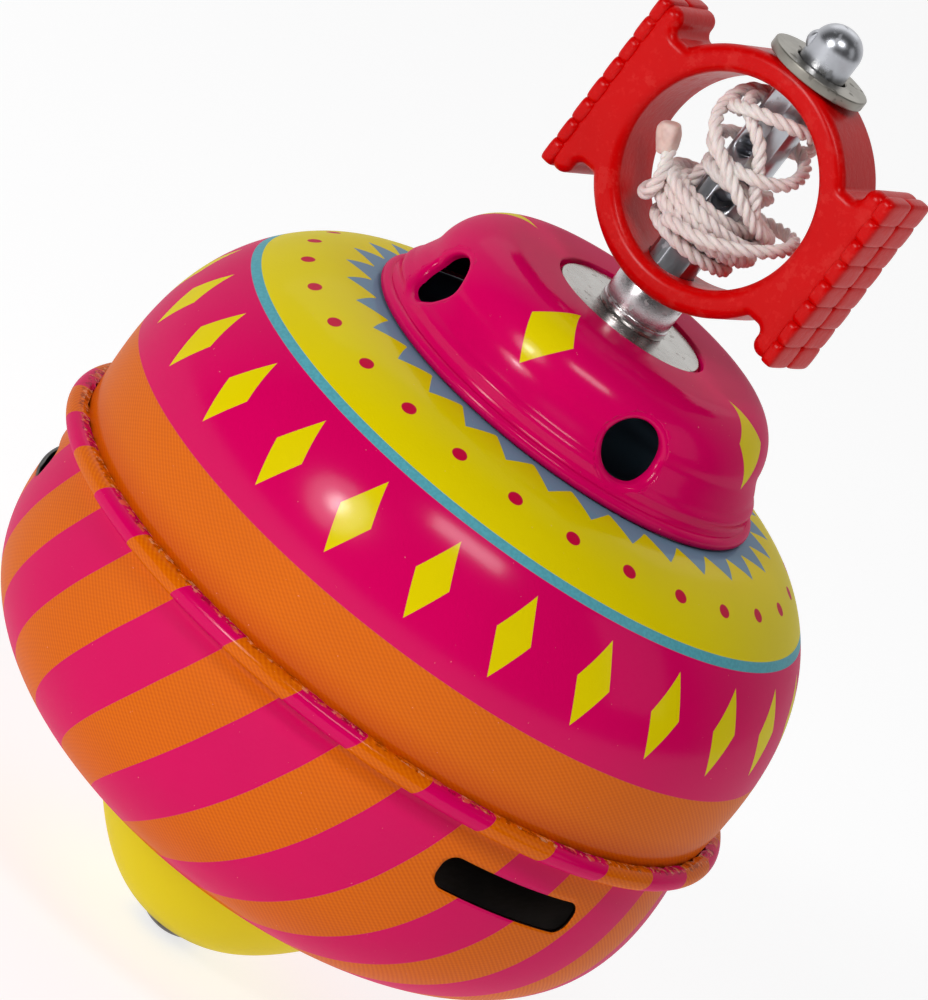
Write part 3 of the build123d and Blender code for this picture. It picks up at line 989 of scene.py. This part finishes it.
upperTin = dress(makeUpperTin(), "top", "upper_print", "upper_shell")


# nose and foot
noseSizes = {
    "sheet": 0.4, "hole": 1.66, "radius": 14.6, "slope": 52, "flange": 1.3, "flangeRise": 0.62,
    "endRadius": 3.3, "endHeight": 1.3, "endSlope": 12, "turns": 192,
}


def makeNoseCup():
    sizes = noseSizes
    radius, top = sizes["radius"], floorZ + sizes["flangeRise"]
    outline = spots((sizes["hole"], sizes["endHeight"]), (sizes["endRadius"], sizes["endHeight"]))
    outline += bendPoints(outline[-1], sizes["endSlope"], (radius, floorZ - 0.1), sizes["slope"], 36)
    outline += spots((radius + 0.03, floorZ + 0.3), (radius + 0.05, top), (radius + sizes["flange"], top))
    return turnedPiece("noseCup", outline, sizes["turns"], [noseInk, bareTinPaintedShade], sizes["sheet"])


noseCup = dress(makeNoseCup(), "top", "nose_yellow", "nose_cup")
for node, finish in (("tip", darkSteel), ("tip_washer", washerSteel), ("backing_washer", washerSteel)):
    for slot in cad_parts[node].material_slots:
        slot.material = finish
print("tin body pressed")


# cap
capSizes = {
    "sheet": 0.4,
    "recessRadius": 7.95, "recessDepth": 0.8, "recessEdge": 0.25,
    "cornerRadius": 5.6, "cornerReach": 17.9,
    "wallFootRadius": 18.9, "wallFootRise": 3.4,
    "stepRadius": 19.45, "stepRise": 2.6,
    "rimRadius": 20.4, "rimBead": 0.65,
    "bore": 2.46,
    "ventRadius": 2.72, "ventHeight": 67.6, "ventLip": 0.72, "ventSteps": 72, "ventCut": (8, 26),
    "ventAngles": (-46.0, -129.5, 134.0, 50.5),
    "turns": 320,
}


def capOutline(sizes):
    # From the bore out over the recess, the corner and the wall to the rolled rim.
    recess, edge, corner = capTop - sizes["recessDepth"], sizes["recessEdge"], sizes["cornerRadius"]
    outline = spots((sizes["bore"], recess), (5.0, recess), (sizes["recessRadius"] - 0.12, recess))
    outline += arcPoints((sizes["recessRadius"] + edge, capTop - edge), edge, 180, 90, 5)
    top = sizes["cornerReach"] - corner
    outline += spots((10.2, capTop), (top, capTop))
    outline += arcPoints((top, capTop - corner), corner, 90, 6, 22)[1:]
    foot = (sizes["wallFootRadius"], seatZ + sizes["wallFootRise"])
    step = (sizes["stepRadius"], seatZ + sizes["stepRise"])
    bead = sizes["rimBead"]
    rim = arcPoints((sizes["rimRadius"] - bead, seatZ + bead + 0.05), bead, 95, -90, 16)
    outline += bendPoints(outline[-1], -82, foot, -68, 10)
    outline += bendPoints(foot, -50, step, -75, 5)
    outline += bendPoints(step, -96, rim[0], -40, 6)
    return outline + rim[1:]


def surfaceRadius(outline, height):
    # Outer radius of an outline at a height, where its wall is steep.
    for before, after in zip(outline, outline[1:]):
        if before.y >= height >= after.y and before.x > 12:
            share = (before.y - height) / max(before.y - after.y, 1e-9)
            return before.x + (after.x - before.x) * share
    return outline[-1].x


def ventLips(work, outline, sizes):
    # Drawn-in edges round the vents: a rounded flange that follows the wall.
    lip, hole, around = sizes["ventLip"], sizes["ventRadius"], sizes["ventSteps"]
    outer = hole + lip + 0.25
    section = [(outer, 0.02)]                                  # radius round the vent, and depth
    for degrees in range(0, 91, 15):
        angle = math.radians(degrees)
        section.append((hole + lip * (1 - math.sin(angle)), lip * (1 - math.cos(angle))))
    section += [(hole, lip + 0.35), (hole + 0.3, lip + 0.35), (hole + 0.45, lip * 0.75), (outer, 0.38)]
    for angle in sizes["ventAngles"]:
        matrix = outwards(angle, 0)
        rings = []
        for step in range(around):
            turn = 2 * math.pi * step / around
            ring = []
            for spread, depth in section:
                across, up = spread * math.cos(turn), sizes["ventHeight"] + spread * math.sin(turn)
                wall = math.sqrt(max(surfaceRadius(outline, up) ** 2 - across ** 2, 0))
                ring.append(work.verts.new(matrix @ (Vector((across, up, wall - depth)) * mm)))
            rings.append(ring)
        for low, high in zip(rings, rings[1:] + rings[:1]):
            bridge(work, low, high)


def joinPieces(first, other):
    # Puts the other piece's mesh into the first one's.
    work = bmesh.new()
    work.from_mesh(first.data)
    work.from_mesh(other.data)
    bpy.data.objects.remove(other)
    work.to_mesh(first.data)
    work.free()
    return first


def makeCapTin():
    sizes = capSizes
    outline = capOutline(sizes)
    piece = turnedPiece("capTin", outline, sizes["turns"], [capInk, bareTinPaintedShade], -sizes["sheet"])
    section = circle(sizes["ventRadius"] + sizes["ventLip"], sizes["ventSteps"])
    for angle in sizes["ventAngles"]:
        matrix = outwards(angle, sizes["ventHeight"])
        cut(piece, lambda work: prism(work, matrix, section, *sizes["ventCut"], 1))
    return joinPieces(piece, meshPiece("lips", lambda work: ventLips(work, outline, sizes), [capInk], 60))


capTin = dress(makeCapTin(), "top", "cap_pink", "cap")


# disc, collar, spindle and washer
metalSizes = {
    "bore": 2.45,
    "discRadius": 7.6, "discEdge": 0.14, "discFlat": (4.2, 6.6),
    "collarRadius": 3.42, "collarFootRadius": 3.5, "collarFoot": 0.95, "collarEdge": 0.18,
    "spindleRadius": 2.4, "domeRadius": 2.2, "rivetRadius": 3.6, "rivetHeight": 0.9, "rivetEdge": 0.25,
    "holeRadius": 1.0, "holeCut": (-4, 4), "flare": 0.8,
    "holes": ((3.6, -104.0), (-1.6, -66.0)),       # height from the ring's centre, direction
    "earReach": 0.4, "earRoot": 0.5, "earWidth": 2.2, "earHeight": 1.8, "earDirection": 20.0,
    "play": 0.9,                                   # how far the washer can lift
    "washerRadius": 5.0, "washerHole": 2.62, "washerEdge": 0.16,
    "discTurns": 160, "turns": 128, "spindleTurns": 96, "holeSteps": 40,
}


def makeCapDisc():
    bore, reach, edge = metalSizes["bore"], metalSizes["discRadius"], metalSizes["discEdge"]
    dished, flat = metalSizes["discFlat"]
    outline = spots((bore, discTop - 0.04), (dished, discTop - 0.02), (flat, discTop))
    outline += arcPoints((reach - edge, discTop - edge), edge, 90, 0, 4)
    outline += spots((reach, discFoot), (bore, discFoot))
    return turnedPiece("capDisc", outline, metalSizes["discTurns"], [brightDisc])


def makeCollar():
    bore, reach, footReach = metalSizes["bore"], metalSizes["collarRadius"], metalSizes["collarFootRadius"]
    foot, edge = collarFoot + metalSizes["collarFoot"], metalSizes["collarEdge"]
    outline = spots((bore, collarFoot), (footReach - 0.1, collarFoot))
    outline += arcPoints((footReach - edge, collarFoot + 0.3), edge, -20, 0, 2)
    outline += arcPoints((footReach - edge, foot - 0.2), edge, 0, 90, 4)
    outline += spots((reach - 0.08, foot), (reach - 0.08, foot + 0.1), (reach, foot + 0.16))
    outline += spots((reach, collarTop - 0.2), (reach - 0.12, collarTop), (bore, collarTop))
    return turnedPiece("collar", outline, metalSizes["turns"], [collarSteel])


def makeSpindle():
    sizes = metalSizes
    reach, dome, rivet, edge = (
        sizes[name] for name in ("spindleRadius", "domeRadius", "rivetRadius", "rivetEdge")
    )
    rivetTop = spindleFoot + sizes["rivetHeight"]
    outline = spots((0, spindleFoot), (rivet - edge, spindleFoot), (rivet, spindleFoot + edge))
    outline += spots((rivet, rivetTop), (reach, rivetTop), (reach, spindleTop - dome))
    outline += arcPoints((reach - dome, spindleTop - dome), dome, 0, 90, 14)[1:]
    outline += spots((0, spindleTop))
    piece = turnedPiece("spindle", outline, sizes["spindleTurns"], [spindleSteel])
    hole, steps = sizes["holeRadius"], sizes["holeSteps"]
    for height, angle in sizes["holes"]:
        matrix = outwards(angle, ringCentre + height)
        cut(piece, lambda work: prism(work, matrix, circle(hole, steps), *sizes["holeCut"]))
        for side in (1, -1):
            def flared(work):
                # a cone that opens the hole's edge
                low, high = (
                    ringOf(work, matrix, circle(size, steps), depth * side)
                    for depth, size in ((reach - 0.45, hole * 0.98), (reach + 0.35, hole + sizes["flare"]))
                )
                work.faces.new(low)
                work.faces.new(high)
                bridge(work, low, high)
            cut(piece, flared)
    return joinPieces(piece, meshPiece("ears", pinchedEars, [spindleSteel], 50))


def pinchedEars(work):
    # Two ears pinched out of the spindle over the washer, which keep the handle on.
    sizes = metalSizes
    foot, root = washerTop + sizes["play"], sizes["earRoot"]
    for side in (0, 180):
        turn = Matrix.Rotation(math.radians(sizes["earDirection"] + side), 4, "Z")
        known = set(work.verts)
        made = bmesh.ops.create_cube(work, size=1)["verts"]
        edges = list({edge for vertex in made for edge in vertex.link_edges})
        bmesh.ops.subdivide_edges(work, edges=edges, cuts=5, use_grid_fill=True)
        for vertex in [vertex for vertex in work.verts if vertex not in known]:
            x, y, z = vertex.co * 2
            out = (x + 1) / 2
            bulge = math.sqrt(max(0, 1 - 0.55 * y * y)) * math.sqrt(max(0, 1 - 0.6 * z * z))
            vertex.co = turn @ (Vector((
                sizes["spindleRadius"] - root + (root + sizes["earReach"]) * max(0, out) * bulge,
                y * sizes["earWidth"] / 2 * (1 - 0.18 * out),
                foot + (z + 1) / 2 * sizes["earHeight"] * (1 - 0.12 * out),
            )) * mm)


def makeWasher():
    hole, reach, edge = metalSizes["washerHole"], metalSizes["washerRadius"], metalSizes["washerEdge"]
    outline = spots((hole, washerFoot), (reach - edge, washerFoot))
    outline += arcPoints((reach - edge, washerFoot + edge), edge, -80, 0, 4)
    outline += arcPoints((reach - edge, washerTop - edge), edge, 0, 90, 5)
    outline += spots((hole + 0.1, washerTop), (hole, washerTop - 0.1))
    return turnedPiece("washer", outline, metalSizes["turns"], [washerSteel])


capDisc = dress(makeCapDisc(), "top", "bright_disc", "cap_disc")
collar = dress(makeCollar(), "top", "collar_steel", "spacer_collar")
spindle = dress(makeSpindle(), "top", "spindle_steel", "spindle")
washer = dress(makeWasher(), "washer", "washer_steel", "retaining_washer")
print("metal parts turned")


# handle
handleSizes = {
    "outer": 12.25, "inner": 9.7, "width": 8.4, "edge": 1.0,
    "webLength": 14.4, "gripFace": 14.1, "gripThickness": 2.3, "gripLength": 18.6,
    "gripCorner": 1.1, "notch": 0.75,
    "footCorner": 0.5, "arcSteps": 60,
    "bore": 2.48, "washerSpot": 5.1, "collarSpot": 3.56, "spotDepth": 0.25, "cutReach": 14,
}


def rounded(points, steps=8):
    # A closed outline from corners and their radii, with its corners rounded.
    result = []
    for index, (x, y, radius) in enumerate(points):
        corner = Vector((x, y))
        if radius == 0:
            result.append(corner)
            continue
        before = (Vector(points[index - 1][:2]) - corner).normalized()
        after = (Vector(points[(index + 1) % len(points)][:2]) - corner).normalized()
        half = before.angle(after) / 2
        centre = corner + (before + after).normalized() * radius / math.sin(half)
        start = corner + before * radius / math.tan(half) - centre
        end = corner + after * radius / math.tan(half) - centre
        result += [centre + start.lerp(end, step / steps).normalized() * radius for step in range(steps + 1)]
    return result


def handleOutline(sizes):
    # Both grips and both halves of the ring, each point with its corner's radius.
    half, face, corner = sizes["webLength"] / 2, sizes["gripFace"], sizes["gripCorner"]
    inside, end, last = face - sizes["gripThickness"], sizes["gripLength"] / 2, sizes["arcSteps"]
    start = math.degrees(math.asin(half / sizes["outer"]))
    arc = arcPoints((0, 0), sizes["outer"], start, 180 - start, last)
    grip = [(inside, half, sizes["notch"]), (inside, end, corner), (face, end, corner)]
    points = []
    for side, bow in ((1, arc), (-1, arc[::-1])):
        points += [(side * x, -side * y, radius) for x, y, radius in grip]
        points += [(side * x, side * y, radius) for x, y, radius in grip[::-1]]
        for index, (x, y) in enumerate(bow):
            points.append((x, side * y, sizes["footCorner"] if index in (0, last) else 0))
    return rounded(points)


def roundedPlate(work, loops, width, edge, steps=6):
    # Plate with rounded edges, from closed loops that run with its solid on their left.
    angles = [math.radians(90 * step / steps) for step in range(steps + 1)]
    profile = [(-width / 2 + edge * (1 - math.sin(angle)), edge * (1 - math.cos(angle))) for angle in angles]
    profile = profile[::-1] + [(-depth, inset) for depth, inset in profile]
    ends = []
    for loop in loops:
        normals = []
        for index in range(len(loop)):
            run = (loop[(index + 1) % len(loop)] - loop[index - 1]).normalized()
            normals.append(Vector((-run.y, run.x)))
        rings = []
        for depth, inset in profile:
            places = [point + normal * inset for point, normal in zip(loop, normals)]
            ring = [Vector((place.x, depth, ringCentre + place.y)) * mm for place in places]
            rings.append([work.verts.new(corner) for corner in ring])
        for low, high in zip(rings, rings[1:]):
            bridge(work, low, high)
        ends.append((rings[0], rings[-1]))
    for side in (0, 1):
        flat = [vertex for pair in ends for vertex in pair[side]]
        for triangle in tessellate_polygon([[vertex.co for vertex in pair[side]] for pair in ends]):
            work.faces.new([flat[index] for index in triangle])


def makeHandle():
    sizes = handleSizes
    loops = [handleOutline(sizes), spots(*circle(sizes["inner"], 160))[::-1]]
    piece = meshPiece(
        "handleBody", lambda work: roundedPlate(work, loops, sizes["width"], sizes["edge"]), [redPlastic],
    )
    foot, top = ringCentre - sizes["cutReach"], ringCentre + sizes["cutReach"]
    spot = sizes["outer"] - sizes["spotDepth"]                 # flats under the washer and over the collar
    for radius, low, high in (
        (sizes["bore"], foot, top),
        (sizes["washerSpot"], ringCentre + spot, top),
        (sizes["collarSpot"], foot, ringCentre - spot),
    ):
        cut(piece, lambda work: prism(work, Matrix(), circle(radius, 64), low, high))
    shadeSmooth(piece.data, 32)
    weight = piece.modifiers.new("weight", "WEIGHTED_NORMAL")
    weight.keep_sharp = True
    finished = evaluatedMesh(piece)
    piece.modifiers.clear()
    piece.data = finished
    return piece


blockSizes = {
    "rows": 8, "columns": 2, "height": 0.72, "proud": 0.02, "groove": -0.28, "seed": 5, "crease": 0.38,
}


def blockTree():
    # Geometry Nodes that lay rows of soft-edged blocks on both grips.
    tree = bpy.data.node_groups.new("gripBlocks", "GeometryNodeTree")
    sockets = {}
    for kind, names in (
        ("Geometry", ("Geometry",)),
        ("Int", ("Rows", "Columns", "Seed")),
        ("Float", ("Length", "Width", "Height", "Groove", "Face", "Level", "Crease")),
        ("Material", ("Material",)),
    ):
        for name in names:
            made = tree.interface.new_socket(name, in_out="INPUT", socket_type="NodeSocket" + kind)
            sockets[name] = made.identifier
    tree.interface.new_socket("Geometry", in_out="OUTPUT", socket_type="NodeSocketGeometry")
    given = tree.nodes.new("NodeGroupInput").outputs
    leave = tree.nodes.new("NodeGroupOutput")

    def add(kind, settings=None, *inputs, **named):
        made = tree.nodes.new(kind)
        for key, value in (settings or {}).items():
            setattr(made, key, value)
        pairs = list(enumerate(inputs)) + [(name.replace("_", " "), value) for name, value in named.items()]
        for key, value in pairs:
            if isinstance(value, bpy.types.NodeSocket):
                tree.links.new(value, made.inputs[key])
            else:
                made.inputs[key].default_value = value
        return made.outputs[0]

    def calc(operation, first, second):
        return add("ShaderNodeMath", {"operation": operation}, first, second)

    pitchZ = calc("DIVIDE", given["Length"], given["Rows"])
    pitchY = calc("DIVIDE", given["Width"], given["Columns"])
    grid = add(
        "GeometryNodeMeshGrid", Vertices_X=given["Columns"], Vertices_Y=given["Rows"],
        Size_X=calc("SUBTRACT", given["Width"], pitchY), Size_Y=calc("SUBTRACT", given["Length"], pitchZ),
    )
    size = add(
        "ShaderNodeCombineXYZ", X=calc("SUBTRACT", pitchY, given["Groove"]),
        Y=calc("SUBTRACT", pitchZ, given["Groove"]), Z=calc("MULTIPLY", given["Height"], 2.0),
    )
    cube = add("GeometryNodeMeshCube", Size=size)
    soft = add("GeometryNodeSubdivisionSurface", Mesh=cube, Level=3, Edge_Crease=given["Crease"])
    smooth = add("GeometryNodeSetShadeSmooth", Geometry=soft)
    vary = add(
        "FunctionNodeRandomValue", {"data_type": "FLOAT_VECTOR"},
        Min=(1.0, 0.99, 0.92), Max=(1.03, 1.03, 1.06), Seed=given["Seed"],
    )
    laid = add("GeometryNodeInstanceOnPoints", Points=grid, Instance=smooth, Scale=vary)
    solid = add("GeometryNodeRealizeInstances", Geometry=laid)
    out = add("ShaderNodeCombineXYZ", X=given["Face"], Y=0.0, Z=given["Level"])
    # the grid's x runs along y of the handle, its y runs up, and its z looks out of the grip
    join = tree.nodes.new("GeometryNodeJoinGeometry")
    for turn in (0, math.pi):
        stood = add("GeometryNodeTransform", Geometry=solid, Rotation=(math.pi / 2, 0, math.pi / 2))
        moved = add("GeometryNodeTransform", Geometry=stood, Translation=out)
        facing = add("GeometryNodeTransform", Geometry=moved, Rotation=(0, 0, turn))
        tree.links.new(facing, join.inputs[0])
    final = add("GeometryNodeRealizeInstances", Geometry=join.outputs[0])
    painted = add("GeometryNodeSetMaterial", Geometry=final, Material=given["Material"])
    tree.links.new(painted, leave.inputs[0])
    return tree, sockets


def makeGripBlocks():
    tree, sockets = blockTree()
    host = linked("gripBlocks", bpy.data.meshes.new("gripBlocks"))
    modifier = host.modifiers.new("blocks", "NODES")
    modifier.node_group = tree
    values = {
        "Rows": blockSizes["rows"], "Columns": blockSizes["columns"],
        "Length": handleSizes["gripLength"] * mm, "Width": handleSizes["width"] * mm,
        "Height": blockSizes["height"] * mm, "Groove": blockSizes["groove"] * mm,
        "Face": (handleSizes["gripFace"] + blockSizes["proud"]) * mm, "Level": ringCentre * mm,
        "Crease": blockSizes["crease"], "Seed": blockSizes["seed"], "Material": redPlastic,
    }
    for name, value in values.items():
        modifier[sockets[name]] = value
    data = evaluatedMesh(host)
    host.modifiers.clear()
    host.data = data
    return host


handleBody = dress(makeHandle(), "handle", "red_plastic", "handle")
gripBlocks = dress(makeGripBlocks(), "handle", "red_plastic")
print("handle moulded")


# floor and light
studio = {
    "floorSize": 6.0,
    "floorTones": (linear(168, 168, 168), linear(164, 164, 165)),
    "floorGlow": 0.74,
    # dark all round but for a pale backdrop behind
    "sky": ((0.1, 0.05), (0.75, 0.85)),            # how far towards the bright way, and how bright
    "brightWay": (-0.45, 0.88, 0.08),
    "aim": (0, 0, 0.055),
    "roundLights": ("key", "halo"),
    # azimuth and elevation of the light, distance, size across and up, power
    "lights": {
        "key": (-106, 20, 0.8, 0.09, 0.12, 1.2),
        "halo": (-106, 20, 0.82, 0.30, 0.34, 1.6),
        "over": (-66, 50, 0.9, 0.34, 0.12, 2.1),
        "right": (8, 30, 0.9, 0.35, 0.6, 0.4),
        "back": (125, 40, 1.0, 1.0, 0.5, 0.9),
    },
}


def addSky():
    world = bpy.data.worlds.new("studio")
    world.use_nodes = True
    sky = Wiring(world.node_tree)
    way = sky.node("TexCoord", out="Generated")
    brightWay = Vector(studio["brightWay"]).normalized()
    towards = sky.node("VectorMath", {"operation": "DOT_PRODUCT"}, way, brightWay, out="Value")
    stops = [(place, (tone, tone, tone, 1)) for place, tone in studio["sky"]]
    tone = sky.node("ValToRGB", {"stops": stops}, towards)
    sky.feed(sky.tree.nodes["Background"].inputs["Color"], tone)
    bpy.context.scene.world = world
    bpy.context.scene.view_settings.view_transform = "Standard"


def addFloor():
    half = studio["floorSize"] / 2
    data = bpy.data.meshes.new("studioFloor")
    corners = [(-half, -half, 0), (half, -half, 0), (half, half, 0), (-half, half, 0)]
    data.from_pydata(corners, [], [(0, 1, 2, 3)])
    paper = Finish(
        "paper", Specular_IOR_Level=0.1, Roughness=0.9,
        Emission_Color=(1, 1, 1, 1), Emission_Strength=studio["floorGlow"],
    )
    shade = paper.noise(paper.place(), 8, 2)
    data.materials.append(paper.wear(Base_Color=paper.mix(shade, *studio["floorTones"])))
    linked("studioFloor", data)


def addLights():
    for name, (azimuth, elevation, distance, across, up, power) in studio["lights"].items():
        lamp = bpy.data.lights.new(name, "AREA")
        lamp.shape = "ELLIPSE" if name in studio["roundLights"] else "RECTANGLE"
        lamp.size, lamp.size_y = across, up
        lamp.energy = power
        linked(name, lamp).matrix_world = lookingBack(studio["aim"], outTo(azimuth, elevation), distance)


addSky()
addFloor()
addLights()
print("studio lit")
